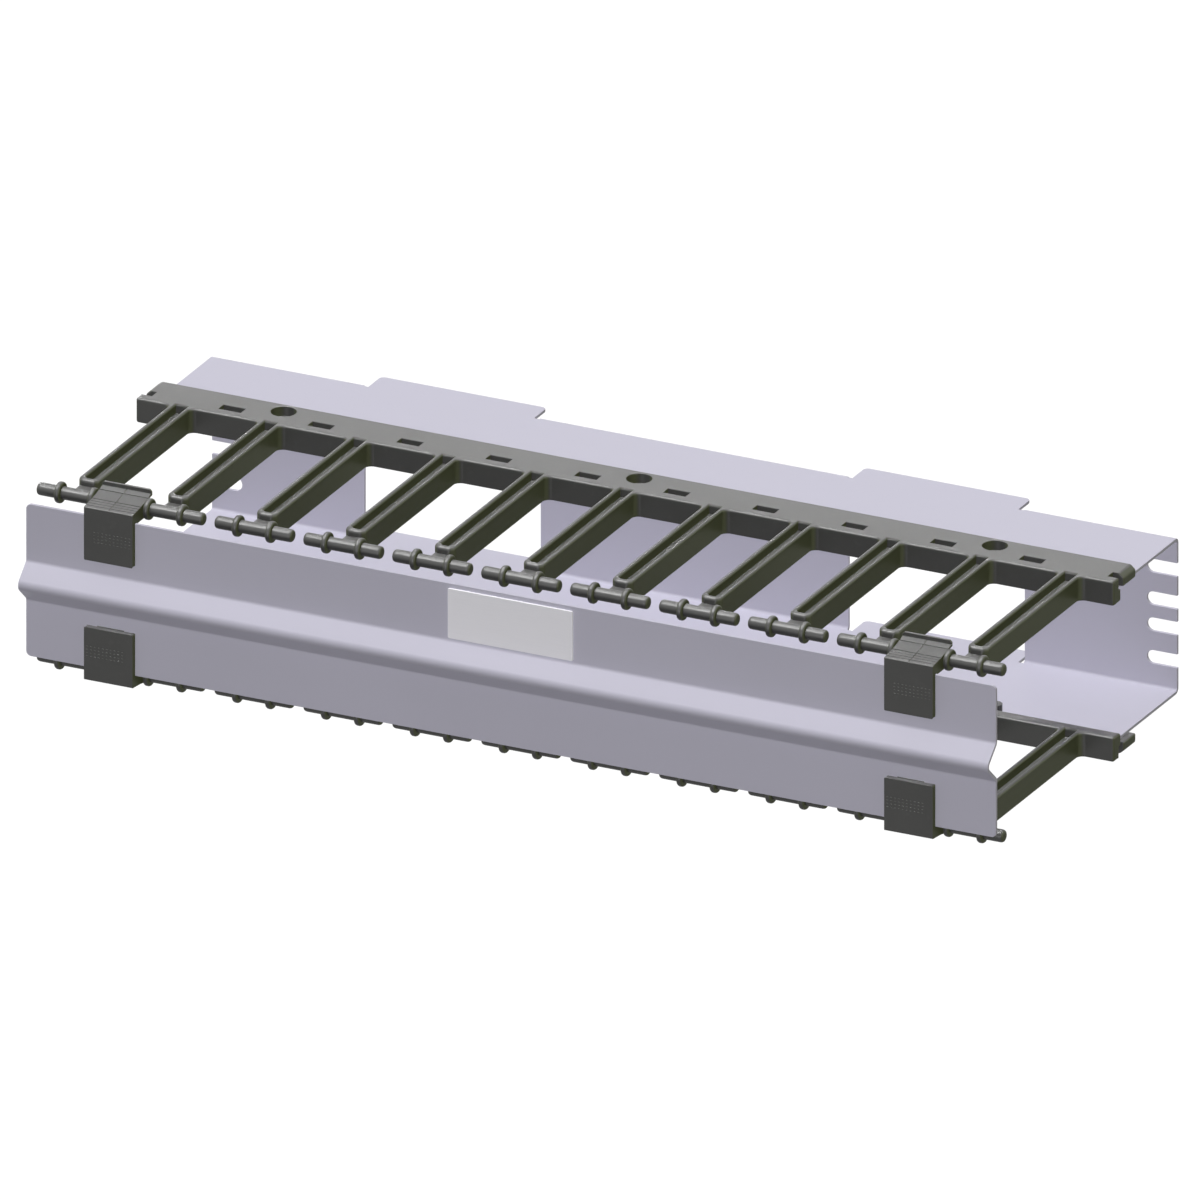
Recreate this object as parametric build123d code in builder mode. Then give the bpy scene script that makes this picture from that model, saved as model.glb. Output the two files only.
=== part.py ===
"""Horizontal cable manager for a 19 inch rack, two rack units high.

Millimetres. X runs along the rack's width, Y from front (negative) to rear, Z up. The origin is on
the rear face of the back plate, which is the plane that meets the rack's rails, at mid height.
"""

import os

from build123d import *

# Small round features are drawn with this many flats
round_flats = 10

# Rack standard
panel_width = 482.6
hole_gap_between_units = 12.7
hole_gap_in_unit = 15.875

# Folded steel channel
sheet = 1.5
channel_height = 76.0
flange_depth = 65.9
bend_radius = 2.8
slot_width = 6.5
slot_depth = 15.1
window_width = 88.0
window_place = 121.0
tab_relief = 2.5
tab_reach = 10.5
tab_corner = 2.5

# Finger rails
finger_count = 11
rail_overhang = 3.175
rail_seat_clearance = 0.3
rail_shelf_depth = 15.8
rail_shelf_thickness = 6.05
rail_wall_depth = 7.0
rail_wall_drop = 6.0
rail_corner = 3.0
rail_end_chamfer_run = 2.4
rail_end_chamfer_drop = 2.0
finger_length = 95.3
finger_width = 10.5
finger_root_radius = 3.0
finger_tip_bevel = 2.0
finger_side_wall = 2.4
finger_web = 3.15
finger_tip_wall = 3.0
pocket_root_wall = 1.5
pocket_bevel = 1.5
rail_slot_length = 11.0
rail_slot_width = 5.2
rail_slot_setback = 5.2
recess_diameter = 11.7
recess_pitches = 4
recess_place = 8.2
pocket_floor = 1.45

# Cross bars at the finger ends
bar_reach = 10.5
bar_diameter = 6.0
bar_drop = 3.55
bar_gap = 5.65
collar_diameter = 10.0
collar_width = 2.8
collar_place = 8.3
neck_width = 7.5
neck_rise = 0.4

# Folded front cover
cover_overhang = 1.15
cover_height = 74.0
cover_corner = 2.5
cover_gap = 9.5
bead_half_height = 9.2
bead_depth = 10.2
bead_crest_radius = 3.6
bead_root_radius = 2.0

# Name plate
plate_length = 62.4
plate_height = 24.3
plate_thickness = 1.0
plate_above_bead = 1.4
plate_corner = 0.8

# Cover clips
clip_side_clearance = 0.3
clip_grip_clearance = 0.1
clip_plate_thickness = 2.8
clip_plate_length = 25.9
clip_plate_corner = 2.3
clip_leg_thickness = 1.2
clip_leg_length = 8.0
clip_jaw_wall = 1.0
hook_bore_clearance = 0.1
hook_roof_wall = 0.7
hook_shoulder_drop = 2.15
hook_brow_reach = 5.3
hook_brow_drop = 1.2
hook_crown_reach = 2.2
hook_crown_rise = 0.3
hook_lip_reach = 5.4
hook_lip_rise = 1.3
hook_lip_height = 1.9
hook_lip_width = 1.2
hook_mouth_flare = 0.8
hook_jaw_reach = 3.5
hook_end_corner = 1.0
tongue_width = 13.5
tongue_reach = 0.4
tongue_thickness = 0.6

# Blind rivets
rivet_shank_diameter = 4.8
rivet_hole_clearance = 0.1
rivet_head_diameter = 9.5
rivet_head_height = 1.4
rivet_head_slope = 60.0
rivet_tail_diameter = 7.0
rivet_tail_length = 3.5

# Heights worked out from the sizes above
channel_half = channel_height / 2
rail_top = channel_half + rail_shelf_thickness
rail_bottom = channel_half - rail_wall_drop
rail_depth = rail_top - rail_bottom
bar_z = rail_top - bar_drop
neck_top = bar_z + neck_rise
neck_bottom = bar_z - bar_diameter / 2
pocket_depth = (rail_depth - finger_web) / 2

# Depths worked out from the sizes above
wall_rear = -flange_depth - rail_seat_clearance
wall_front = wall_rear - rail_wall_depth
finger_tip = wall_front - finger_length
bar_y = finger_tip - bar_reach
cover_rear = bar_y - cover_gap
cover_front = cover_rear - sheet

# Places along the length
rail_length = panel_width + 2 * rail_overhang
pitch = rail_length / finger_count
bar_length = pitch - bar_gap
finger_x = [(index - (finger_count - 1) / 2) * pitch for index in range(finger_count)]
slot_x = [(index - finger_count / 2) * pitch for index in range(finger_count + 1)]
rivet_x = [-recess_pitches * pitch, 0.0, recess_pitches * pitch]
clip_x = (finger_count - 2) / 2 * pitch
clip_width = pitch - 2 * (collar_place + collar_width / 2 + clip_side_clearance)
rivet_y = wall_rear + recess_place - rail_seat_clearance
slot_rows = [
    hole_gap_between_units / 2,
    hole_gap_between_units / 2 + hole_gap_in_unit,
]
rivet_hole_radius = rivet_shank_diameter / 2 + rivet_hole_clearance

os.makedirs("parts", exist_ok=True)


# Chassis: a channel folded from one sheet, with its flanges to the front
with BuildPart() as chassis:
    with BuildSketch(Plane.YZ):
        with BuildLine():
            FilletPolyline(
                (-flange_depth, channel_half),
                (0, channel_half),
                (0, -channel_half),
                (-flange_depth, -channel_half),
                radius=bend_radius,
            )
            offset(amount=sheet, side=Side.RIGHT)
        make_face()
    extrude(amount=panel_width / 2, both=True)
    # Windows in the back plate, through the bends above and below it
    with BuildSketch(Plane.XZ):
        with Locations((-window_place, 0), (window_place, 0)):
            Rectangle(window_width, channel_height)
    extrude(amount=bend_radius, mode=Mode.SUBTRACT)
    # The sheet's flat tabs that run on rearwards above and below each window
    tab_overlap = sheet
    for low_face in (channel_half - sheet, -channel_half):
        with BuildSketch(Plane.XY.offset(low_face)) as tab_plan:
            tab_length = tab_reach + bend_radius + tab_overlap
            with Locations(
                (-window_place, tab_reach - tab_length / 2),
                (window_place, tab_reach - tab_length / 2),
            ):
                Rectangle(window_width - 2 * tab_relief, tab_length)
            fillet(tab_plan.vertices().group_by(Axis.Y)[-1], tab_corner)
        extrude(amount=sheet)
    # Rack slots, open at the ends of the plate
    with BuildSketch(Plane.XZ):
        for row in slot_rows:
            with GridLocations(panel_width, 2 * row, 2, 2):
                SlotOverall(2 * slot_depth, slot_width)
    extrude(amount=sheet, mode=Mode.SUBTRACT)
    # Rivet holes through both flanges
    with BuildSketch(Plane.XY.offset(-channel_half)):
        with Locations(*[(x, rivet_y) for x in rivet_x]):
            RegularPolygon(rivet_hole_radius, round_flats)
    extrude(amount=channel_height, mode=Mode.SUBTRACT)

# Cross bar at a finger's end, with two collars, for the finger at the middle
with BuildPart() as cross_bar:
    with BuildSketch(Plane.YZ):
        with Locations((bar_y, bar_z)):
            RegularPolygon(bar_diameter / 2, round_flats)
    extrude(amount=bar_length / 2, both=True)
    for place_x in (-collar_place, collar_place):
        with BuildSketch(Plane.YZ.offset(place_x)):
            with Locations((bar_y, bar_z)):
                RegularPolygon(collar_diameter / 2, round_flats)
        extrude(amount=collar_width / 2, both=True)

# Upper finger rail: shelf, front wall, fingers and cross bars in one moulding
with BuildPart() as finger_rail_top:
    with BuildSketch(Plane.XY.offset(rail_bottom)) as rail_plan:
        with Locations((0, (wall_rear + wall_front) / 2)):
            Rectangle(rail_length, rail_wall_depth)
        with Locations(*[(x, (wall_rear + finger_tip) / 2) for x in finger_x]):
            Rectangle(finger_width, wall_rear - finger_tip)
        front_line = rail_plan.vertices().group_by(Axis.Y)[1].sort_by(Axis.X)
        fillet(front_line[1:-1], finger_root_radius)
        corners = rail_plan.vertices().group_by(Axis.X)
        fillet([group.sort_by(Axis.Y)[0] for group in (corners[0], corners[-1])], rail_corner)
        chamfer(rail_plan.vertices().group_by(Axis.Y)[0], finger_tip_bevel)
    extrude(amount=rail_depth)
    # Shelf that sits on the flange
    with BuildSketch(Plane.XY.offset(channel_half)):
        with Locations((0, wall_rear + rail_shelf_depth / 2)):
            Rectangle(rail_length, rail_shelf_depth)
    extrude(amount=rail_shelf_thickness)
    # Sloped outer ends of the shelf
    with BuildSketch(Plane.XZ):
        for side in (-1, 1):
            end = side * rail_length / 2
            with BuildLine():
                Polyline(
                    (end, rail_top),
                    (end - side * rail_end_chamfer_run, rail_top),
                    (end, rail_top - rail_end_chamfer_drop),
                    close=True,
                )
            make_face()
    extrude(amount=-wall_front - rail_slot_setback, mode=Mode.SUBTRACT)
    # Lightening pockets above and below the web of each finger
    pocket_root = wall_front + pocket_root_wall
    pocket_end = finger_tip + finger_tip_wall
    for face, into in ((rail_top, -pocket_depth), (rail_bottom, pocket_depth)):
        with BuildSketch(Plane.XY.offset(face)) as pocket_plan:
            with Locations(*[(x, (pocket_root + pocket_end) / 2) for x in finger_x]):
                Rectangle(finger_width - 2 * finger_side_wall, pocket_root - pocket_end)
            chamfer(pocket_plan.vertices().group_by(Axis.Y)[0], pocket_bevel)
        extrude(amount=into, mode=Mode.SUBTRACT)
    # Slots through the shelf between the fingers, with half a slot at each end
    with BuildSketch(Plane.XY.offset(channel_half)):
        with Locations(*[(x, wall_front + rail_slot_setback + rail_slot_width / 2) for x in slot_x]):
            Rectangle(rail_slot_length, rail_slot_width)
    extrude(amount=rail_shelf_thickness, mode=Mode.SUBTRACT)
    # Round recesses and the rivet holes in their floors
    with BuildSketch(Plane.XY.offset(channel_half + pocket_floor)):
        with Locations(*[(x, rivet_y) for x in rivet_x]):
            Circle(recess_diameter / 2)
    extrude(amount=rail_shelf_thickness, mode=Mode.SUBTRACT)
    with BuildSketch(Plane.XY.offset(channel_half)):
        with Locations(*[(x, rivet_y) for x in rivet_x]):
            RegularPolygon(rivet_hole_radius, round_flats)
    extrude(amount=pocket_floor, mode=Mode.SUBTRACT)
    # Necks that carry the cross bars
    with BuildSketch(Plane.XY.offset(neck_bottom)):
        with Locations(*[(x, (finger_tip + finger_tip_wall / 2 + bar_y) / 2) for x in finger_x]):
            Rectangle(neck_width, bar_reach + finger_tip_wall / 2)
    extrude(amount=neck_top - neck_bottom)
    with Locations(*[(x, 0, 0) for x in finger_x]):
        add(cross_bar.part)

# Lower finger rail: the same moulding turned over
turned_over = Rotation(0, 180, 0)
with BuildPart() as finger_rail_bottom:
    with Locations(turned_over):
        add(finger_rail_top.part)

# Front cover: one sheet with a rounded bead pressed out along its middle
with BuildPart() as cover:
    with BuildSketch(Plane.YZ):
        with BuildLine():
            FilletPolyline(
                (cover_front, cover_height / 2),
                (cover_front, bead_half_height),
                (cover_front - bead_depth, 0),
                (cover_front, -bead_half_height),
                (cover_front, -cover_height / 2),
                radius=(bead_root_radius, bead_crest_radius, bead_root_radius),
            )
            offset(amount=sheet, side=Side.LEFT)
        make_face()
    extrude(amount=panel_width / 2 + cover_overhang, both=True)
    fillet(cover.edges().filter_by(Axis.Y), cover_corner)

# Name plate: bare, above the bead
plate_bottom = bead_half_height + plate_above_bead
with BuildPart() as name_plate:
    with BuildSketch(Plane.XZ.offset(-cover_front)):
        with Locations((0, plate_bottom + plate_height / 2)):
            RectangleRounded(plate_length, plate_height, plate_corner)
    extrude(amount=plate_thickness)

# Cover clip for the upper edge, at the middle: a plate on the cover's face, a saddle over its edge
# and a hook round the cross bars, open to the rear, with a thumb lip
bore_radius = bar_diameter / 2 + hook_bore_clearance
plate_face = cover_front - clip_plate_thickness
roof = bar_z + bore_radius + hook_roof_wall
shoulder = roof - hook_shoulder_drop
clip_bottom = shoulder - clip_plate_length
lip_front = bar_y + hook_lip_reach
lip_rear = lip_front + hook_lip_width
lip_top = roof + hook_lip_rise + hook_lip_height
jaw_bottom = bar_z - bore_radius - clip_jaw_wall
edge_seat = cover_height / 2 + clip_grip_clearance
leg_front = cover_rear + clip_grip_clearance
leg_rear = leg_front + clip_leg_thickness
with BuildPart() as clip_form:
    with BuildSketch(Plane.YZ):
        with BuildLine():
            Polyline(
                (cover_front, clip_bottom),
                (plate_face, clip_bottom),
                (plate_face, shoulder),
                (bar_y - hook_brow_reach, roof - hook_brow_drop),
                (bar_y + hook_crown_reach, roof + hook_crown_rise),
                (lip_front, roof + hook_lip_rise),
                (lip_front, lip_top),
                (lip_rear, lip_top),
                (lip_rear, bar_z),
                (bar_y + hook_jaw_reach, bar_z),
                (bar_y + hook_jaw_reach, jaw_bottom),
                (leg_rear, jaw_bottom),
                (leg_rear, jaw_bottom - clip_leg_length),
                (leg_front, jaw_bottom - clip_leg_length),
                (leg_front, edge_seat),
                (cover_front, edge_seat),
                close=True,
            )
        make_face()
        # The bore round the bars and its mouth, which widens to the rear
        with Locations((bar_y, bar_z)):
            Circle(bore_radius, mode=Mode.SUBTRACT)
        with BuildLine():
            Polyline(
                (bar_y, bar_z + bore_radius),
                (lip_rear, bar_z + bore_radius + hook_mouth_flare),
                (lip_rear, bar_z - bore_radius - hook_mouth_flare),
                (bar_y, bar_z - bore_radius),
                close=True,
            )
        make_face(mode=Mode.SUBTRACT)
    extrude(amount=clip_width / 2, both=True)
    plate_corners = clip_form.edges().filter_by(Axis.Y).group_by(Axis.Z)
    fillet(plate_corners[0], clip_plate_corner)
    lip_corners = clip_form.edges().filter_by(Axis.Y).group_by(Axis.Z)[-1]
    chamfer(lip_corners, hook_end_corner)
    # Tongue that stands out below the plate, against the cover
    with BuildSketch(Plane.XZ.offset(-cover_front)):
        with Locations((0, clip_bottom)):
            Rectangle(tongue_width, 2 * tongue_reach)
    extrude(amount=tongue_thickness)

# Blind rivet for the upper rail, at the middle
rail_floor = channel_half + pocket_floor
flange_inside = channel_half - sheet
with BuildPart() as rivet_form:
    for low_face, diameter, length, taper in (
        (flange_inside - rivet_tail_length, rivet_tail_diameter, rivet_tail_length, 0),
        (flange_inside, rivet_shank_diameter, sheet + pocket_floor, 0),
        (rail_floor, rivet_head_diameter, rivet_head_height, rivet_head_slope),
    ):
        with BuildSketch(Plane.XY.offset(low_face)):
            with Locations((0, rivet_y)):
                RegularPolygon(diameter / 2, round_flats)
        extrude(amount=length, taper=taper)


def place(form, x, is_lower):
    """Puts one copy of an upper form at x, turned over for the lower side."""
    with BuildPart() as placed:
        with Locations(Location((x, 0, 0)) * turned_over if is_lower else Location((x, 0, 0))):
            add(form.part)
    return placed


pieces = {
    "chassis": chassis,
    "finger_rail_top": finger_rail_top,
    "finger_rail_bottom": finger_rail_bottom,
    "cover": cover,
    "name_plate": name_plate,
}
for row, is_lower in (("top", False), ("bottom", True)):
    for side, x in (("left", -clip_x), ("right", clip_x)):
        pieces[f"cover_clip_{row}_{side}"] = place(clip_form, x, is_lower)
    for side, x in zip(("left", "middle", "right"), rivet_x):
        pieces[f"rail_rivet_{row}_{side}"] = place(rivet_form, x, is_lower)

for name, piece in pieces.items():
    piece.part.label = name
    export_step(piece.part, f"parts/{name}.step")
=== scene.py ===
"""Looks of a horizontal cable manager for a 19 inch rack, two rack units high.

The sheet parts, the finger rails, the clips, the name plate and the rivets are made around the
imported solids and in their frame, in metres. Sizes in the settings are in metres too.
"""

import math

import bmesh
import bpy
from mathutils import Matrix, Vector


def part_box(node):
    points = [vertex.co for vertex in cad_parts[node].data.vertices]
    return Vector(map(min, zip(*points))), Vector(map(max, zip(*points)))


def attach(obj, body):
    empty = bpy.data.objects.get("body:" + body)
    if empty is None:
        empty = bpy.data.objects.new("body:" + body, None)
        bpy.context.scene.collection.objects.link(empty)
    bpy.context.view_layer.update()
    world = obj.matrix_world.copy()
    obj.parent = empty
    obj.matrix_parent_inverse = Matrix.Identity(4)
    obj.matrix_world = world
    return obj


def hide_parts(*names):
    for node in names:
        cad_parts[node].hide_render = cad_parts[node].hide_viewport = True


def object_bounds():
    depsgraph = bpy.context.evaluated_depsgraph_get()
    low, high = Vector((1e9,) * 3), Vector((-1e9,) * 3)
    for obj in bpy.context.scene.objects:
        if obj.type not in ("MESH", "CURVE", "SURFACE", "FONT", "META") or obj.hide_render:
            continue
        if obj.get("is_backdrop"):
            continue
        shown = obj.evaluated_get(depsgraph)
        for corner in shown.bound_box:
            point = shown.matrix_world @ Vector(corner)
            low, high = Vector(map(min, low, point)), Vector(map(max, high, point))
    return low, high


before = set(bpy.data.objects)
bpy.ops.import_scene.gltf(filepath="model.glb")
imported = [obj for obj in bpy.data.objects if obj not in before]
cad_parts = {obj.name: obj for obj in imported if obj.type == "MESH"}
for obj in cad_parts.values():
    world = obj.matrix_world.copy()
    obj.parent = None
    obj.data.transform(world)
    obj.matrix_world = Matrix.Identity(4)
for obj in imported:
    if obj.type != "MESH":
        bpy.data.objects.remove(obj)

bl_info = {
    "name": "Horizontal cable manager",
    "version": (1, 0, 0),
    "blender": (4, 5, 0),
    "location": "View3D > Sidebar > Cable manager",
    "description": "Makes the looks of a rack-mounted horizontal cable manager around its solids",
    "category": "Object",
}

# How an upper piece is turned to become a lower one
TURNED_OVER = Matrix.Rotation(math.pi, 4, "Y")
# Depth and height of the points that the top of an upper clip's hook runs through, front to rear
HOOK_TOP = ((-0.1928, 0.04215), (-0.1843, 0.0431), (-0.1768, 0.0446), (-0.1736, 0.0456))
# Points of a solid that are closer than this are joined
WELD = 2e-6
# Places that are closer than this count as the same
SAME = 1e-6
# Slack for picking a solid's points at a known place
SLACK = 1e-5
# Turns at an edge, in degrees: the largest inside a flat face, the largest that shading runs across
# between wide faces, the largest that it runs across elsewhere, and the same on a repeated form
FLAT_TURN = 0.6
FAINT_TURN = 3.0
SOFT_TURN = 48.0
REPEATED_TURN = 40.0
# Width from which a face counts as wide
WIDE = 0.0015
# How far a cutter reaches past the ends of what it cuts
OVERSHOOT = 0.001
# Height of a groove's cutter above the surface, as a multiple of the groove's depth
CUTTER_RISE = 4
# Distance of the camera and the lamps
STAND_OFF = 2.0
# Nearest and farthest distance that the camera sees
CAMERA_RANGE = (0.01, 20.0)
WHITE = (1.0, 1.0, 1.0, 1.0)


def size(default, name, description):
    """A length in metres for the settings."""
    return bpy.props.FloatProperty(
        name=name, description=description, default=default, min=0.0, precision=5, unit="LENGTH"
    )


def depth_place(default, name, description):
    """A place along the depth axis in metres for the settings."""
    return bpy.props.FloatProperty(
        name=name, description=description, default=default, precision=5, unit="LENGTH"
    )


def count(default, name, description):
    """A number of copies or sides for the settings."""
    return bpy.props.IntProperty(name=name, description=description, default=default, min=1)


def angle(degrees, name, description):
    """An angle for the settings."""
    return bpy.props.FloatProperty(
        name=name, description=description, default=math.radians(degrees), subtype="ANGLE"
    )


def colour(default, name, description):
    """A colour for the settings."""
    return bpy.props.FloatVectorProperty(
        name=name, description=description, default=default, size=3, min=0.0, max=1.0, subtype="COLOR"
    )


def share(default, name, description):
    """A number from 0 to 1 for the settings."""
    return bpy.props.FloatProperty(
        name=name, description=description, default=default, min=0.0, max=1.0, subtype="FACTOR"
    )


def strength(default, name, description):
    """A light's strength for the settings, where 1 shows a facing white surface as white."""
    return bpy.props.FloatProperty(name=name, description=description, default=default, min=0.0)


# Settings

class RailSettings(bpy.types.PropertyGroup):
    """Sizes of the finger rails' look."""

    fingers: count(11, "Fingers", "Fingers on each rail")
    pitch: size(0.48895 / 11, "Pitch", "Distance from one finger to the next")
    finger_tip: depth_place(-0.1685, "Finger tip", "Depth at which the fingers end")
    bar_depth: depth_place(-0.179, "Bar depth", "Depth of the cross bars' axis")
    wall_front: depth_place(-0.0732, "Wall front", "Depth of the wall's front face")
    corner_radius: size(0.003, "Corner radius", "Radius of the wall's end corners in the solid")
    wall_end_length: size(0.007, "Wall end length", "Length of the wall's ends whose upper rims are rounded")
    bar_height: size(0.0405, "Bar height", "Height of the cross bars' axis")
    bar_radius: size(0.003, "Bar radius", "Radius of a cross bar")
    bar_length: size(0.0388, "Bar length", "Length of a cross bar")
    bar_rounding: size(0.0017, "Bar rounding", "Rounding at a cross bar's ends")
    bar_sides: count(32, "Bar sides", "Sides of a cross bar")
    collar_radius: size(0.005, "Collar radius", "Radius of a collar")
    collar_width: size(0.0028, "Collar width", "Width of a collar")
    collar_place: size(0.0083, "Collar place", "Distance from a finger's middle to a collar's middle")
    collar_rounding: size(0.0012, "Collar rounding", "Rounding of a collar's rim")
    collar_sides: count(36, "Collar sides", "Sides of a collar")
    neck_width: size(0.0075, "Neck width", "Width of the neck between a finger and its bar")
    neck_rise: size(0.0004, "Neck rise", "Height of the neck's top above the bar's axis")
    neck_root: size(0.001, "Neck root", "How far a neck reaches into its finger")
    rim_rounding: size(0.00115, "Rim rounding", "Rounding of the fingers' upper rims and the wall's front")
    nose_rounding: size(0.0018, "Nose rounding", "Rounding of the outer rims at the fingers' ends")
    tip_rounding: size(0.001, "Tip rounding", "Rounding of the upright edges at the fingers' ends")
    nose_reach: size(0.0021, "Nose reach", "Length of a finger's end whose outer rims get the nose rounding")
    tip_reach: size(0.003, "Tip reach", "Length of a finger's end whose upright edges get the tip rounding")
    tail_length: size(0.0025, "Tail length", "Length of the shelf's sloping ends")
    tail_rounding: size(0.0008, "Tail rounding", "Rounding of the edges at the shelf's ends")
    edge_rounding: size(0.00025, "Edge rounding", "Rounding of the moulding's other edges")
    rim_limit: depth_place(-0.0716, "Rim limit", "Depth in front of which the upper rims are rounded")
    tail_limit: depth_place(-0.0646, "Tail limit", "Depth behind which the tail rounding is used")


class ClipSettings(bpy.types.PropertyGroup):
    """Sizes of the cover clips' look."""

    edge_rounding: size(0.0002, "Edge rounding", "Rounding of the clips' edges")
    brow_rounding: size(0.0006, "Brow rounding", "Rounding of the plate's upper edge")
    corner_radius: size(0.0023, "Corner radius", "Radius of the plate's lower corners in the solid")
    corner_rounding: size(0.0012, "Corner rounding", "Rounding of the plate's lower corners")
    seam_width: size(0.0004, "Seam width", "Width of the groove across the hook at mid length")
    seam_depth: size(0.00025, "Seam depth", "Depth of that groove and of the two along the hook's creases")
    line_width: size(0.0003, "Line width", "Width of the fine grooves near the plate")
    line_depth: size(0.00018, "Line depth", "Depth of the fine grooves near the plate")
    lines: count(3, "Lines", "Fine grooves near the plate")
    grip_rows: count(4, "Grip rows", "Rows of raised dashes")
    grip_columns: count(10, "Grip columns", "Dashes in a row")
    grip_length: size(0.0009, "Dash length", "Length of a dash")
    grip_height: size(0.0005, "Dash height", "Height of a dash")
    grip_relief: size(0.0002, "Dash relief", "How far a dash stands out of the plate")
    grip_rounding: size(0.00016, "Dash rounding", "Rounding of a dash's edges")
    grip_step: size(0.00195, "Dash step", "Distance from one dash to the next in a row")
    grip_row_step: size(0.0016, "Row step", "Distance from one row to the next")
    grip_shift: size(0.0018, "Grip shift", "Sideways distance of the grip's middle from the plate's middle")
    grip_place: size(0.028, "Grip place", "Height of the grip's middle above the cover's middle")


class SheetSettings(bpy.types.PropertyGroup):
    """Sizes of the look of the folded sheets and the name plate."""

    edge_rounding: size(0.0002, "Edge rounding", "Rounding of the folded sheets' edges")
    plate_rounding: size(0.00025, "Plate rounding", "Rounding of the name plate's edges")


class FinishSettings(bpy.types.PropertyGroup):
    """Colours of the finishes, and a painted olive tint of side light."""

    coat: colour((0.465, 0.453, 0.533), "Powder coat", "Colour of the folded sheet parts")
    moulding: colour((0.053, 0.053, 0.051), "Moulding", "Colour of the rails and the clips")
    # Painted side light: an olive tint that stands in for light from the side, not a colour of the plastic
    painted_side_light: colour(
        (0.078, 0.086, 0.048), "Painted side light", "Colour of a moulding's faces that look along the length"
    )
    plate: colour((0.79, 0.78, 0.82), "Name plate", "Colour of the name plate")
    rivet: colour((0.05, 0.05, 0.05), "Rivets", "Colour of the rivets")


class StageSettings(bpy.types.PropertyGroup):
    """Camera, floor and light."""

    azimuth: angle(25.96, "Azimuth", "Turn of the camera round the object")
    elevation: angle(22.77, "Elevation", "Rise of the camera above level")
    target: bpy.props.FloatVectorProperty(
        name="Target",
        description="Point at the middle of the picture",
        default=(-0.00175, -0.095, -0.00166),
        size=3,
        subtype="TRANSLATION",
    )
    frame_width: size(0.5394, "Frame width", "Width that the picture shows")
    floor_size: size(12.0, "Floor size", "Side of the floor")
    floor_gap: size(0.0005, "Floor gap", "Gap between the floor and the lowest clip")
    floor_tone: share(0.95, "Floor tone", "Brightness of the floor's colour as it is seen")
    floor_bounce: share(0.1, "Floor bounce", "Brightness of the floor's colour as it lights the object")
    floor_glow: share(0.6, "Floor glow", "Share of the floor's look that shadows leave alone")
    world: strength(0.1, "World", "Strength of the light from all round")
    key: strength(0.08, "Key", "Strength of the soft light from above, the only one that casts shadows")
    fill: strength(0.73, "Fill", "Strength of the light from above that reaches inside")
    glint: strength(0.3, "Glint", "Strength of the narrow light from the upper left, which reaches inside")
    front: strength(0.3, "Front", "Strength of the level light from the front, which reaches inside")
    side: strength(0.2, "Side", "Strength of the warm light from the right, which reaches inside")
    side_colour: colour((1.0, 1.0, 0.8), "Side colour", "Colour of the light from the right")
    back: strength(0.12, "Back", "Strength of the light from behind and above, which reaches inside")


class CableManagerSettings(bpy.types.PropertyGroup):
    """All settings of the cable manager's look."""

    rail: bpy.props.PointerProperty(type=RailSettings)
    clip: bpy.props.PointerProperty(type=ClipSettings)
    sheet: bpy.props.PointerProperty(type=SheetSettings)
    finish: bpy.props.PointerProperty(type=FinishSettings)
    stage: bpy.props.PointerProperty(type=StageSettings)


# Shader and geometry trees

class Signal:
    """A node's output that takes part in Python expressions on values."""

    def __init__(self, tree, socket):
        self.tree = tree
        self.socket = socket

    def _math(self, operation, first, second):
        return self.tree.node("ShaderNodeMath", {"operation": operation}, {0: first, 1: second})

    def __add__(self, other):
        return self._math("ADD", self, other)

    def __radd__(self, other):
        return self._math("ADD", other, self)

    def __sub__(self, other):
        return self._math("SUBTRACT", self, other)

    def __rsub__(self, other):
        return self._math("SUBTRACT", other, self)

    def __mul__(self, other):
        return self._math("MULTIPLY", self, other)

    def __rmul__(self, other):
        return self._math("MULTIPLY", other, self)


class Tree:
    """A node tree with one way to add a node and one to fill its inputs."""

    def __init__(self, tree):
        self.tree = tree

    def node(self, kind, settings=None, inputs=None, output=0):
        """Adds a node, sets it up, fills its inputs and gives one of its outputs, or the node itself."""
        made = self.tree.nodes.new(kind)
        for name, value in (settings or {}).items():
            setattr(made, name, value)
        self.fill(made, inputs or {})
        return made if output is None else Signal(self, made.outputs[output])

    def fill(self, made, inputs):
        """Links a node's inputs to signals, or sets their values."""
        for key, value in inputs.items():
            if isinstance(value, Signal):
                self.tree.links.new(value.socket, made.inputs[key])
            else:
                made.inputs[key].default_value = value


def new_finish(name):
    """A material, its tree and its surface shader."""
    material = bpy.data.materials.new(name)
    material.use_nodes = True
    tree = Tree(material.node_tree)
    return material, tree, material.node_tree.nodes["Principled BSDF"]


def grain(tree, place, scale, detail=2.0, roughness=0.5):
    """A noise over the surface whose features are about 1 / scale metres."""
    return tree.node(
        "ShaderNodeTexNoise",
        {"noise_dimensions": "3D"},
        {"Vector": place, "Scale": scale, "Detail": detail, "Roughness": roughness},
    )


def seen_rays(tree):
    """1 for the rays that show the background, seen or mirrored or through glass, and 0 for the rest."""
    path = tree.node("ShaderNodeLightPath", output=None)
    seen = Signal(tree, path.outputs["Is Camera Ray"])
    for name in ("Is Glossy Ray", "Is Transmission Ray"):
        also = Signal(tree, path.outputs[name])
        seen = tree.node("ShaderNodeMath", {"operation": "MAXIMUM"}, {0: seen, 1: also})
    return seen


def steps(tree, signal, low, high):
    """The signal spread from 0 at low to 1 at high."""
    return tree.node(
        "ShaderNodeMapRange", {"clamp": True}, {"Value": signal, "From Min": low, "From Max": high}
    )


def blend(tree, factor, first, second):
    """A colour between two others. The node has its colours at inputs 6 and 7 and at output 2."""
    return tree.node(
        "ShaderNodeMix",
        {"data_type": "RGBA", "clamp_factor": True},
        {0: factor, 6: first, 7: second},
        output=2,
    )


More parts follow.
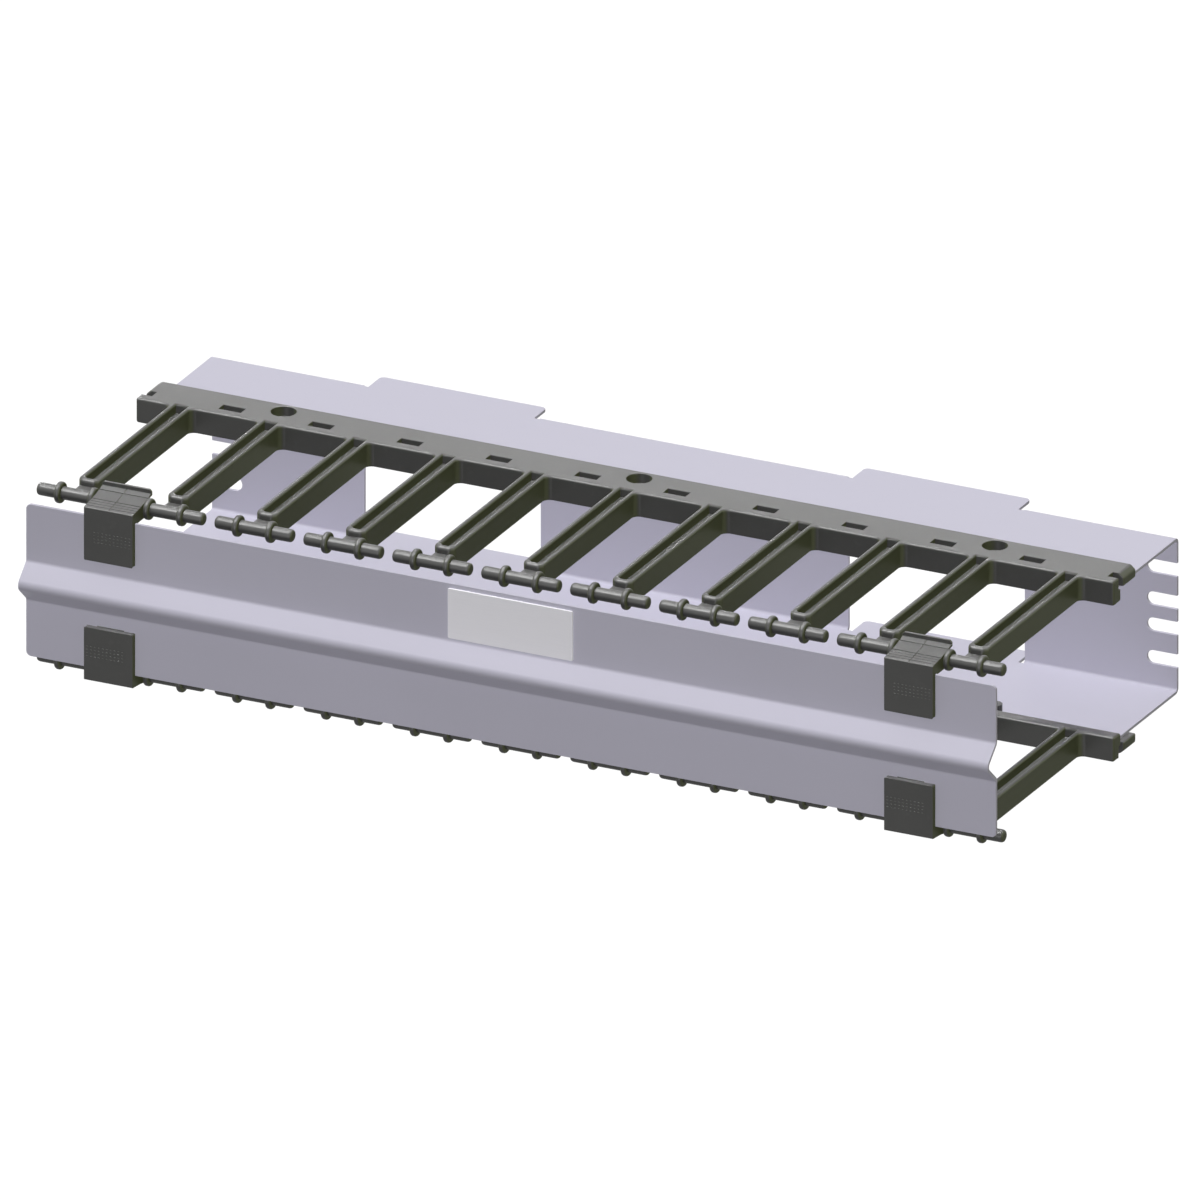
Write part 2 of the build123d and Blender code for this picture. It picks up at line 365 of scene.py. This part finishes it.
def shade(base, factor):
    """A colour as a tuple, made lighter or darker."""
    return tuple(min(1.0, part * factor) for part in base) + (1.0,)


def bump(tree, height, distance, strength):
    """A normal from a height that changes by the distance, in metres."""
    return tree.node("ShaderNodeBump", None, {"Height": height, "Distance": distance, "Strength": strength})


def powder_coat(settings):
    """Satin powder coat: fine orange peel, faint cloudiness and a few specks."""
    material, tree, shader = new_finish("satin_powder_coat")
    place = tree.node("ShaderNodeTexCoord", output="Object")
    cloud = steps(tree, grain(tree, place, scale=14.0, detail=3.0), 0.35, 0.65)
    speck = steps(tree, grain(tree, place, scale=2600.0, detail=1.0), 0.66, 0.74)
    peel = grain(tree, place, scale=900.0)
    tone = blend(tree, cloud * 0.5, shade(settings.coat, 0.985), shade(settings.coat, 1.03))
    tone = blend(tree, speck * 0.25, tone, shade(settings.coat, 0.82))
    look = {
        "Base Color": tone,
        "Roughness": 0.42 + 0.1 * cloud + 0.06 * speck,
        "Normal": bump(tree, peel, distance=0.00003, strength=0.35),
        "Specular IOR Level": 0.1,
    }
    tree.fill(shader, look)
    return material


def moulded_plastic(settings):
    """Dark moulded plastic: spark-eroded grain, faint flow marks and pale rubbed patches.

    The faces that look along the length get a painted olive tint of side light and half the coat.
    The coat grows with how far a face looks up, so that highlights are stronger on the tops.
    """
    material, tree, shader = new_finish("dark_moulded_plastic")
    place = tree.node("ShaderNodeTexCoord", output="Object")
    flow = steps(tree, grain(tree, place, scale=35.0, detail=3.0), 0.3, 0.7)
    rub = steps(tree, grain(tree, place, scale=220.0, detail=4.0, roughness=0.6), 0.58, 0.75)
    pits = grain(tree, place, scale=2400.0)
    facing = tree.node("ShaderNodeTexCoord", output="Normal")
    parts = tree.node("ShaderNodeSeparateXYZ", None, {"Vector": facing}, output=None)
    along = Signal(tree, parts.outputs["X"])
    sideways = tree.node("ShaderNodeMath", {"operation": "ABSOLUTE"}, {0: along})
    side_facing = steps(tree, sideways, 0.35, 0.75)
    upward = steps(tree, Signal(tree, parts.outputs["Z"]), 0.1, 0.5)
    tone = blend(tree, flow, shade(settings.moulding, 0.93), shade(settings.moulding, 1.07))
    # Painted side light: faces that look along the length take an olive tint that stands in for light from
    # the side
    tone = blend(tree, side_facing, tone, shade(settings.painted_side_light, 1.0))
    tone = blend(tree, rub * 0.18, tone, shade(settings.moulding, 1.7))
    look = {
        "Base Color": tone,
        "Roughness": 0.28 + 0.06 * flow + 0.12 * rub,
        "Normal": bump(tree, pits, distance=0.00003, strength=0.45),
        # The coat grows on faces that look up and is halved on those that look along the length, for
        # stronger highlights on the tops
        "Coat Weight": (0.35 + 0.65 * upward) * (1.0 - 0.5 * side_facing),
        "Coat Roughness": 0.34,
        "Coat IOR": 1.65,
        "Specular IOR Level": 0.0,
    }
    tree.fill(shader, look)
    return material


def plate_finish(settings):
    """Satin plate with a fine grain along its length."""
    material, tree, shader = new_finish("satin_name_plate")
    place = tree.node("ShaderNodeTexCoord", output="Object")
    drawn = tree.node("ShaderNodeMapping", None, {"Vector": place, "Scale": (60.0, 3000.0, 3000.0)})
    lines = grain(tree, drawn, scale=1.0, detail=3.0)
    streak = steps(tree, lines, 0.35, 0.65)
    look = {
        "Base Color": blend(tree, streak, shade(settings.plate, 0.985), shade(settings.plate, 1.005)),
        "Roughness": 0.36 + 0.1 * streak,
        "Normal": bump(tree, lines, distance=0.00001, strength=0.3),
        "Specular IOR Level": 0.2,
    }
    tree.fill(shader, look)
    return material


def rivet_finish(settings):
    """Blackened rivet metal with rubbed spots."""
    material, tree, shader = new_finish("blackened_rivet")
    place = tree.node("ShaderNodeTexCoord", output="Object")
    rub = steps(tree, grain(tree, place, scale=900.0, detail=3.0), 0.55, 0.7)
    look = {
        "Base Color": blend(tree, rub * 0.4, shade(settings.rivet, 1.0), shade(settings.rivet, 2.2)),
        "Roughness": 0.38 + 0.15 * rub,
        "Normal": bump(tree, rub, distance=0.00001, strength=0.3),
        "Metallic": 0.6,
    }
    tree.fill(shader, look)
    return material


def finish(name):
    """A finish by its name, made once."""
    makers = {
        "satin_powder_coat": powder_coat,
        "dark_moulded_plastic": moulded_plastic,
        "satin_name_plate": plate_finish,
        "blackened_rivet": rivet_finish,
    }
    found = bpy.data.materials.get(name)
    return found or makers[name](bpy.context.scene.cable_manager.finish)


# Meshes

def new_piece(name, mesh, material, body):
    """Puts a mesh into the scene as one piece that moves with a body."""
    mesh.name = name
    piece = bpy.data.objects.new(name, mesh)
    bpy.context.scene.collection.objects.link(piece)
    piece.data.materials.clear()
    piece.data.materials.append(material)
    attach(piece, body)
    return piece


def merged_copy(node):
    """A copy of a solid's mesh with its loose triangles joined at their points."""
    form = bmesh.new()
    form.from_mesh(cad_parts[node].data)
    bmesh.ops.remove_doubles(form, verts=form.verts, dist=WELD)
    return form


def flatten(form):
    """Joins the triangles of each flat face."""
    bmesh.ops.dissolve_limit(
        form, angle_limit=math.radians(FLAT_TURN), verts=form.verts, edges=form.edges, delimit={"NORMAL"}
    )


def helper_of(name, form):
    """A short-lived object with the form's mesh. The form is used up."""
    mesh = bpy.data.meshes.new(name)
    form.to_mesh(mesh)
    form.free()
    helper = bpy.data.objects.new(name + "_helper", mesh)
    bpy.context.scene.collection.objects.link(helper)
    return helper


def plain_mesh(helper):
    """The helper's mesh with its modifiers applied. The helper itself goes."""
    evaluated = helper.evaluated_get(bpy.context.evaluated_depsgraph_get())
    result = bpy.data.meshes.new_from_object(evaluated)
    old = helper.data
    bpy.data.objects.remove(helper)
    bpy.data.meshes.remove(old)
    return result


def rounded(name, form, widest, width_of, segments=3, least=25.0):
    """A mesh from the form whose outer edges that turn by at least some degrees are rounded."""
    weights = form.edges.layers.float.new("bevel_weight_edge")
    for edge in form.edges:
        if len(edge.link_faces) == 2 and edge.is_convex and edge.calc_face_angle(0.0) > math.radians(least):
            edge[weights] = min(1.0, width_of(edge) / widest)
    helper = helper_of(name, form)
    bevel = helper.modifiers.new("Rounded edges", "BEVEL")
    bevel.width = widest
    bevel.segments = segments
    bevel.limit_method = "WEIGHT"
    bevel.use_clamp_overlap = False
    bevel.loop_slide = False
    return plain_mesh(helper)


def carved(mesh, cutter):
    """The mesh with the cutter's closed forms taken out of it."""
    helper = bpy.data.objects.new(mesh.name + "_helper", mesh)
    tool = helper_of(mesh.name + "_cutter", cutter)
    bpy.context.scene.collection.objects.link(helper)
    cut = helper.modifiers.new("Grooves", "BOOLEAN")
    cut.operation = "DIFFERENCE"
    cut.solver = "EXACT"
    cut.use_self = True
    cut.object = tool
    result = plain_mesh(helper)
    old = tool.data
    bpy.data.objects.remove(tool)
    bpy.data.meshes.remove(old)
    return result


def evenly_shaded(mesh):
    """The mesh with smooth edges, but with its wide faces shaded flat and the creases between them kept."""
    form = bmesh.new()
    form.from_mesh(mesh)
    bpy.data.meshes.remove(mesh)
    is_wide = {}
    for face in form.faces:
        face.smooth = True
        is_wide[face] = face.calc_area() > WIDE * max(edge.calc_length() for edge in face.edges)
    for edge in form.edges:
        turn = math.degrees(edge.calc_face_angle(0.0))
        between_wide = all(is_wide[face] for face in edge.link_faces)
        edge.smooth = turn < (FAINT_TURN if between_wide else SOFT_TURN)
    helper = helper_of("shaded", form)
    shading = helper.modifiers.new("Even shading", "WEIGHTED_NORMAL")
    shading.mode = "FACE_AREA"
    shading.keep_sharp = True
    return plain_mesh(helper)


def rounded_profile(points, rounding, segments=4):
    """Corner points of a turned profile, with each marked corner rounded."""
    result = []
    for index, (x, r, is_round) in enumerate(points):
        if not is_round:
            result.append((x, r))
            continue
        corner = Vector((x, r))
        before = Vector(points[index - 1][:2]) - corner
        after = Vector(points[index + 1][:2]) - corner
        start = corner + before.normalized() * rounding
        end = corner + after.normalized() * rounding
        for step in range(segments + 1):
            t = step / segments
            result.append(tuple(start.lerp(corner, t).lerp(corner.lerp(end, t), t)))
    return result


def turned(form, profile, centre, sides):
    """Turns a profile of (place along X, radius) round an axis along X through centre."""
    turns = [2 * math.pi * step / sides for step in range(sides)]
    rings = []
    for x, radius in profile:
        rim = turns if radius > SAME else turns[:1]
        places = [(radius * math.cos(turn), radius * math.sin(turn)) for turn in rim]
        rings.append([form.verts.new((centre[0] + x, centre[1] + y, centre[2] + z)) for y, z in places])
    for first, second in zip(rings, rings[1:]):
        for step in range(sides):
            after = (step + 1) % sides
            corners = []
            for ring, place in ((first, step), (first, after), (second, after), (second, step)):
                corner = ring[place] if len(ring) > 1 else ring[0]
                if corner not in corners:
                    corners.append(corner)
            form.faces.new(corners)


def block(form, low, high):
    """A closed block between two corners."""
    low, high = Vector(low), Vector(high)
    made = bmesh.ops.create_cube(form, size=1.0)["verts"]
    centre, reach = (low + high) / 2, high - low
    for vertex in made:
        vertex.co = centre + Vector([a * b for a, b in zip(vertex.co, reach)])


def prism(form, outline, start, end):
    """A closed prism from an outline of (depth, height) points, between two places along X."""
    rings = [[form.verts.new((x, y, z)) for y, z in outline] for x in (start, end)]
    faces = [form.faces.new(rings[0]), form.faces.new(reversed(rings[1]))]
    for index in range(len(outline)):
        after = (index + 1) % len(outline)
        faces.append(form.faces.new((rings[0][index], rings[1][index], rings[1][after], rings[0][after])))
    bmesh.ops.recalc_face_normals(form, faces=faces)


def array_tree(material):
    """Geometry nodes that repeat the incoming form along X and Z, centred on the origin."""
    group = bpy.data.node_groups.new("Array along X and Z", "GeometryNodeTree")
    sockets = group.interface
    sockets.new_socket("Geometry", in_out="INPUT", socket_type="NodeSocketGeometry")
    for name, kind in (("Columns", "Int"), ("Step", "Float"), ("Rows", "Int"), ("Row step", "Float")):
        sockets.new_socket(name, in_out="INPUT", socket_type="NodeSocket" + kind).default_value = 1
    sockets.new_socket("Material", in_out="INPUT", socket_type="NodeSocketMaterial").default_value = material
    sockets.new_socket("Geometry", in_out="OUTPUT", socket_type="NodeSocketGeometry")
    tree = Tree(group)
    given = tree.node("NodeGroupInput", output=None)
    form, columns, step, rows, row_step, coat = [Signal(tree, given.outputs[index]) for index in range(6)]
    for axis, number, gap in (("X", columns, step), ("Z", rows, row_step)):
        first = tree.node("ShaderNodeCombineXYZ", None, {axis: (number - 1) * gap * -0.5})
        offset = tree.node("ShaderNodeCombineXYZ", None, {axis: gap})
        row = {"Count": number, "Start Location": first, "Offset": offset}
        line = tree.node("GeometryNodeMeshLine", {"mode": "OFFSET"}, row)
        placed = tree.node("GeometryNodeInstanceOnPoints", None, {"Points": line, "Instance": form})
        form = tree.node("GeometryNodeRealizeInstances", None, {"Geometry": placed})
    coated = tree.node("GeometryNodeSetMaterial", None, {"Geometry": form, "Material": coat})
    tree.node("NodeGroupOutput", None, {0: coated}, output=None)
    return group


def repeated(form, material, columns, step, rows=1, row_step=0.0):
    """The mesh of a form repeated along X and Z."""
    helper = helper_of("form", form)
    nodes = helper.modifiers.new("Repeat", "NODES")
    nodes.node_group = array_tree(material)
    values = {"Columns": columns, "Step": step, "Rows": rows, "Row step": row_step}
    for item in nodes.node_group.interface.items_tree:
        if item.in_out == "INPUT" and item.name in values:
            nodes[item.identifier] = values[item.name]
    result = plain_mesh(helper)
    result.shade_smooth()
    result.set_sharp_from_angle(angle=math.radians(REPEATED_TURN))
    return result


# The stage and the pieces

class CABLEMANAGER_OT_stage(bpy.types.Operator):
    """Camera, floor, backdrop light and lamps"""

    bl_idname = "cable_manager.stage"
    bl_label = "Stage"

    def execute(self, context):
        settings = context.scene.cable_manager.stage
        self.camera(context, settings)
        self.floor(context, settings)
        self.light(context, settings)
        context.scene.view_settings.view_transform = "Standard"
        return {"FINISHED"}

    def camera(self, context, settings):
        """A parallel view from the front, above and to the right."""
        turn, rise = settings.azimuth, settings.elevation
        back = Vector((math.sin(turn) * math.cos(rise), -math.cos(turn) * math.cos(rise), math.sin(rise)))
        data = bpy.data.cameras.new("camera")
        data.type = "ORTHO"
        data.ortho_scale = settings.frame_width
        data.clip_start, data.clip_end = CAMERA_RANGE
        camera = bpy.data.objects.new("camera", data)
        context.scene.collection.objects.link(camera)
        camera.location = Vector(settings.target) + back * STAND_OFF
        camera.rotation_euler = (-back).to_track_quat("-Z", "Y").to_euler()
        context.scene.camera = camera

    def floor(self, context, settings):
        """A wide pale floor just below the lowest clip."""
        low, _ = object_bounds()
        height = low.z - settings.floor_gap
        half = settings.floor_size / 2
        form = bmesh.new()
        corners = [(-half, -half), (half, -half), (half, half), (-half, half)]
        form.faces.new([form.verts.new((x, y, height)) for x, y in corners])
        mesh = bpy.data.meshes.new("floor")
        form.to_mesh(mesh)
        form.free()
        material, tree, shader = new_finish("pale_floor")
        seen = seen_rays(tree)
        tone = settings.floor_bounce + seen * (settings.floor_tone - settings.floor_bounce)
        pale = tree.node("ShaderNodeCombineColor", None, {"Red": tone, "Green": tone, "Blue": tone})
        tree.fill(shader, {"Base Color": pale, "Roughness": 0.9, "Specular IOR Level": 0.0})
        white = tree.node("ShaderNodeEmission", None, {"Color": WHITE, "Strength": 1.0})
        mix = {0: seen * settings.floor_glow, 1: Signal(tree, shader.outputs[0]), 2: white}
        surface = tree.node("ShaderNodeMixShader", None, mix)
        tree.fill(material.node_tree.nodes["Material Output"], {"Surface": surface})
        mesh.materials.append(material)
        floor = bpy.data.objects.new("floor", mesh)
        context.scene.collection.objects.link(floor)
        floor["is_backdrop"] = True

    def light(self, context, settings):
        """A white backdrop and six lamps, of which only the key light casts shadows."""
        world = bpy.data.worlds.new("studio")
        world.use_nodes = True
        tree = Tree(world.node_tree)
        level = settings.world + seen_rays(tree) * (1.0 - settings.world)
        tree.fill(world.node_tree.nodes["Background"], {"Strength": level, "Color": WHITE})
        context.scene.world = world
        plain = WHITE[:3]
        # Name, direction of the lamp, spread in degrees, strength, colour, and whether it casts shadows
        lamps = (
            ("lamp_key", (-0.4, -0.1, 0.91), 40.0, settings.key, plain, True),
            ("lamp_fill", (-0.2, 0.0, 0.98), 60.0, settings.fill, plain, False),
            ("lamp_glint", (-0.4, -0.35, 0.85), 18.0, settings.glint, plain, False),
            ("lamp_front", (0.0, -1.0, -0.05), 30.0, settings.front, plain, False),
            ("lamp_side", (1.0, 0.0, 0.0), 20.0, settings.side, settings.side_colour, False),
            ("lamp_back", (-0.4, 0.68, 0.58), 60.0, settings.back, plain, False),
        )
        for name, towards, spread, level, tint, casts in lamps:
            data = bpy.data.lights.new(name, "SUN")
            data.color = tint
            data.angle = math.radians(spread)
            data.energy = math.pi * level
            data.use_shadow = casts
            # Sampled from the surfaces too, a lamp without shadows would have its highlights blocked
            data.cycles.use_multiple_importance_sampling = casts
            lamp = bpy.data.objects.new(name, data)
            context.scene.collection.objects.link(lamp)
            lamp.location = Vector(towards) * STAND_OFF
            lamp.rotation_euler = Vector(towards).to_track_quat("Z", "Y").to_euler()


class CABLEMANAGER_OT_sheet_parts(bpy.types.Operator):
    """Folded chassis and folded front cover, powder coated"""

    bl_idname = "cable_manager.sheet_parts"
    bl_label = "Sheet parts"

    def execute(self, context):
        rounding = context.scene.cable_manager.sheet.edge_rounding
        coat = finish("satin_powder_coat")
        for node, body in (("chassis", "frame"), ("cover", "cover")):
            form = merged_copy(node)
            flatten(form)
            mesh = rounded(node + "_look", form, rounding, lambda edge: rounding, segments=2)
            piece = new_piece(node + "_sheet", evenly_shaded(mesh), coat, body)
            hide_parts(node)
        return {"FINISHED"}


class CABLEMANAGER_OT_finger_rails(bpy.types.Operator):
    """Upper and lower finger rails with their cross bars"""

    bl_idname = "cable_manager.finger_rails"
    bl_label = "Finger rails"

    def execute(self, context):
        settings = context.scene.cable_manager.rail
        plastic = finish("dark_moulded_plastic")
        body = self.moulding(settings)
        bars = self.cross_bars(settings, plastic)
        for node, place in (("finger_rail_top", Matrix.Identity(4)), ("finger_rail_bottom", TURNED_OVER)):
            for kind, mesh in (("moulding", body), ("bars", bars)):
                copy = mesh.copy()
                copy.transform(place)
                piece = new_piece(node + "_" + kind, copy, plastic, "frame")
                if kind == "moulding":
                    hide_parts(node)
        return {"FINISHED"}

    def moulding(self, settings):
        """The rail without its cross bars, with rounded edges and rounded finger ends."""
        form = merged_copy("finger_rail_top")
        ends = [corner[0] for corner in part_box("finger_rail_top")]
        self.square_corners(form, settings, ends)
        tip = settings.finger_tip
        beyond = [vertex for vertex in form.verts if vertex.co.y < tip - SLACK]
        bmesh.ops.delete(form, geom=beyond, context="VERTS")
        bmesh.ops.holes_fill(form, edges=form.edges, sides=0)
        flatten(form)
        heights = [vertex.co.z for vertex in form.verts]
        top, bottom = max(heights), min(heights)

        def width(edge):
            first, second = (vertex.co for vertex in edge.verts)
            front, rear = sorted((first.y, second.y))
            is_level = abs(first.z - second.z) < SAME
            is_rim = is_level and min(abs(first.z - top), abs(first.z - bottom)) < SAME
            is_end = all(min(abs(point.x - end) for end in ends) < SAME for point in (first, second))
            is_on_wall = rear < settings.wall_front + settings.wall_end_length
            is_upright = (first - second).to_2d().length < SAME
            if is_rim and rear < tip + settings.nose_reach:
                return settings.nose_rounding
            if is_rim and (rear < settings.rim_limit or is_end and is_on_wall):
                return settings.rim_rounding
            if is_upright and first.y < tip + settings.tip_reach:
                return settings.tip_rounding
            if is_upright and is_end and first.y < settings.rim_limit:
                return settings.rim_rounding
            reach = max(ends) - settings.tail_length
            if min(abs(first.x), abs(second.x)) > reach and front > settings.tail_limit:
                return settings.tail_rounding
            return settings.edge_rounding

        return evenly_shaded(rounded("rail_moulding", form, settings.nose_rounding, width, segments=4))

    def square_corners(self, form, settings, ends):
        """Turns the wall's large end corners into sharp ones, which get the rim's rounding instead."""
        reach = settings.corner_radius + SLACK
        for vertex in form.verts:
            if settings.finger_tip < vertex.co.y < settings.wall_front + reach:
                for end in ends:
                    if abs(vertex.co.x - end) < reach:
                        vertex.co.x, vertex.co.y = end, settings.wall_front
        bmesh.ops.remove_doubles(form, verts=form.verts, dist=WELD)

    def cross_bars(self, settings, plastic):
        """A row of cross bars with collars, each on its finger's neck."""
        form = bmesh.new()
        centre = (0.0, settings.bar_depth, settings.bar_height)
        half, radius = settings.bar_length / 2, settings.bar_radius
        ends = [(-half, 0.0, False), (-half, radius, True), (half, radius, True), (half, 0.0, False)]
        turned(form, rounded_profile(ends, settings.bar_rounding), centre, settings.bar_sides)
        reach, width = settings.collar_radius, settings.collar_width
        for side in (-1, 1):
            middle = side * settings.collar_place
            low, high = middle - width / 2, middle + width / 2
            ring = [(low, 0.0, False), (low, reach, True), (high, reach, True), (high, 0.0, False)]
            turned(form, rounded_profile(ring, settings.collar_rounding), centre, settings.collar_sides)
        neck = settings.neck_width / 2
        block(
            form,
            (-neck, settings.bar_depth, settings.bar_height - radius),
            (neck, settings.finger_tip + settings.neck_root, settings.bar_height + settings.neck_rise),
        )
        bmesh.ops.recalc_face_normals(form, faces=form.faces)
        return repeated(form, plastic, settings.fingers, settings.pitch)


class CABLEMANAGER_OT_cover_clips(bpy.types.Operator):
    """Four moulded clips that hold the cover on the cross bars"""

    bl_idname = "cable_manager.cover_clips"
    bl_label = "Cover clips"

    def execute(self, context):
        settings = context.scene.cable_manager.clip
        plastic = finish("dark_moulded_plastic")
        clip = self.moulding(settings)
        grip = self.grip(settings, plastic)
        for row, turn in (("top", Matrix.Identity(4)), ("bottom", TURNED_OVER)):
            for side in ("left", "right"):
                node = f"cover_clip_{row}_{side}"
                low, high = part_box(node)
                place = Matrix.Translation(((low[0] + high[0]) / 2, 0.0, 0.0)) @ turn
                for kind, mesh in (("moulding", clip), ("grip", grip)):
                    copy = mesh.copy()
                    copy.transform(place)
                    piece = new_piece(node + "_" + kind, copy, plastic, "cover")
                    if kind == "moulding":
                        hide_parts(node)
        return {"FINISHED"}

    def moulding(self, settings):
        """An upper clip at mid length, with rounded edges and with grooves in its hook's top."""
        low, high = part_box("cover_clip_top_left")
        half = (high[0] - low[0]) / 2
        form = merged_copy("cover_clip_top_left")
        bmesh.ops.translate(form, vec=(-low[0] - half, 0.0, 0.0), verts=form.verts)
        reach = settings.corner_radius + SLACK
        outer = [vertex for vertex in form.verts if half - abs(vertex.co.x) < reach]
        bottom = min(vertex.co.z for vertex in outer)
        for vertex in outer:
            if vertex.co.z - bottom < reach:
                vertex.co.x, vertex.co.z = math.copysign(half, vertex.co.x), bottom
        bmesh.ops.remove_doubles(form, verts=form.verts, dist=WELD)
        flatten(form)
        shoulder = HOOK_TOP[0]

        def width(edge):
            first, second = (vertex.co for vertex in edge.verts)
            if all(math.dist(point.yz, shoulder) < SLACK for point in (first, second)):
                return settings.brow_rounding
            is_corner = (first - second).xz.length < SAME and abs(first.z - bottom) < SAME
            return settings.corner_rounding if is_corner else settings.edge_rounding

        mesh = rounded("clip_moulding", form, settings.corner_rounding, width, segments=4)
        cutter = bmesh.new()
        # The cutter of the middle groove stands well above the hook's top and the rounded brow
        above, below = settings.brow_rounding * 2, settings.seam_depth
        band = [(y, z + above) for y, z in HOOK_TOP] + [(y, z - below) for y, z in reversed(HOOK_TOP)]
        prism(cutter, band, -settings.seam_width / 2, settings.seam_width / 2)
        for y, z in HOOK_TOP[1:-1]:
            self.groove(cutter, y, z, settings.seam_width, settings.seam_depth, half)
        start, end = Vector(HOOK_TOP[0]), Vector(HOOK_TOP[1])
        for index in range(settings.lines):
            y, z = start.lerp(end, (index + 1) / (settings.lines + 1))
            self.groove(cutter, y, z, settings.line_width, settings.line_depth, half)
        return evenly_shaded(carved(mesh, cutter))

    def groove(self, cutter, y, z, width, depth, half):
        """A straight cutter along the hook, centred on a point of its top."""
        front, rear = y - width / 2, y + width / 2
        low, high = z - depth, z + depth * CUTTER_RISE
        outline = [(front, low), (rear, low), (rear, high), (front, high)]
        prism(cutter, outline, -half - OVERSHOOT, half + OVERSHOOT)

    def grip(self, settings, plastic):
        """Rows of small raised dashes on an upper clip's plate, for the thumb."""
        low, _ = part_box("cover_clip_top_left")
        form = bmesh.new()
        # Half of a dash is sunk into the plate
        reach = Vector((settings.grip_length, settings.grip_relief * 2, settings.grip_height)) / 2
        block(form, -reach, reach)
        bmesh.ops.bevel(
            form, geom=form.edges[:], offset=settings.grip_rounding, segments=2, profile=0.5, affect="EDGES"
        )
        columns, rows = settings.grip_columns, settings.grip_rows
        mesh = repeated(form, plastic, columns, settings.grip_step, rows, settings.grip_row_step)
        mesh.transform(Matrix.Translation((settings.grip_shift, low[1], settings.grip_place)))
        return mesh


class CABLEMANAGER_OT_name_plate(bpy.types.Operator):
    """Bare name plate on the cover"""

    bl_idname = "cable_manager.name_plate"
    bl_label = "Name plate"

    def execute(self, context):
        rounding = context.scene.cable_manager.sheet.plate_rounding
        form = merged_copy("name_plate")
        flatten(form)
        mesh = evenly_shaded(rounded("name_plate", form, rounding, lambda edge: rounding))
        piece = new_piece("name_plate_face", mesh, finish("satin_name_plate"), "cover")
        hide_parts("name_plate")
        return {"FINISHED"}


class CABLEMANAGER_OT_rivets(bpy.types.Operator):
    """Blind rivets that hold the rails to the flanges"""

    bl_idname = "cable_manager.rivets"
    bl_label = "Rivets"

    def execute(self, context):
        metal = finish("blackened_rivet")
        for name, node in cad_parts.items():
            if name.startswith("rail_rivet"):
                node.data.materials.clear()
                node.data.materials.append(metal)
        return {"FINISHED"}


class CABLEMANAGER_PT_panel(bpy.types.Panel):
    """Lists the pieces and their settings"""

    bl_idname = "CABLEMANAGER_PT_panel"
    bl_label = "Cable manager"
    bl_space_type = "VIEW_3D"
    bl_region_type = "UI"
    bl_category = "Cable manager"

    def draw(self, context):
        layout = self.layout
        settings = context.scene.cable_manager
        for operator in OPERATORS:
            layout.operator(operator.bl_idname)
        for title in ("rail", "clip", "sheet", "finish", "stage"):
            group = getattr(settings, title)
            box = layout.box()
            box.label(text=title.capitalize())
            for name in group.bl_rna.properties.keys():
                if name not in ("rna_type", "name"):
                    box.prop(group, name)


OPERATORS = (
    CABLEMANAGER_OT_sheet_parts,
    CABLEMANAGER_OT_finger_rails,
    CABLEMANAGER_OT_cover_clips,
    CABLEMANAGER_OT_name_plate,
    CABLEMANAGER_OT_rivets,
    CABLEMANAGER_OT_stage,
)
CLASSES = (
    RailSettings,
    ClipSettings,
    SheetSettings,
    FinishSettings,
    StageSettings,
    CableManagerSettings,
    *OPERATORS,
    CABLEMANAGER_PT_panel,
)


def register():
    """Adds the classes and the settings."""
    for item in CLASSES:
        bpy.utils.register_class(item)
    bpy.types.Scene.cable_manager = bpy.props.PointerProperty(type=CableManagerSettings)


def unregister():
    """Takes the settings and the classes away again."""
    del bpy.types.Scene.cable_manager
    for item in reversed(CLASSES):
        bpy.utils.unregister_class(item)


def main():
    """Makes every piece in turn."""
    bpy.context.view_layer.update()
    register()
    bpy.ops.cable_manager.sheet_parts()
    bpy.ops.cable_manager.finger_rails()
    bpy.ops.cable_manager.cover_clips()
    bpy.ops.cable_manager.name_plate()
    bpy.ops.cable_manager.rivets()
    bpy.ops.cable_manager.stage()


if __name__ == "__main__":
    main()
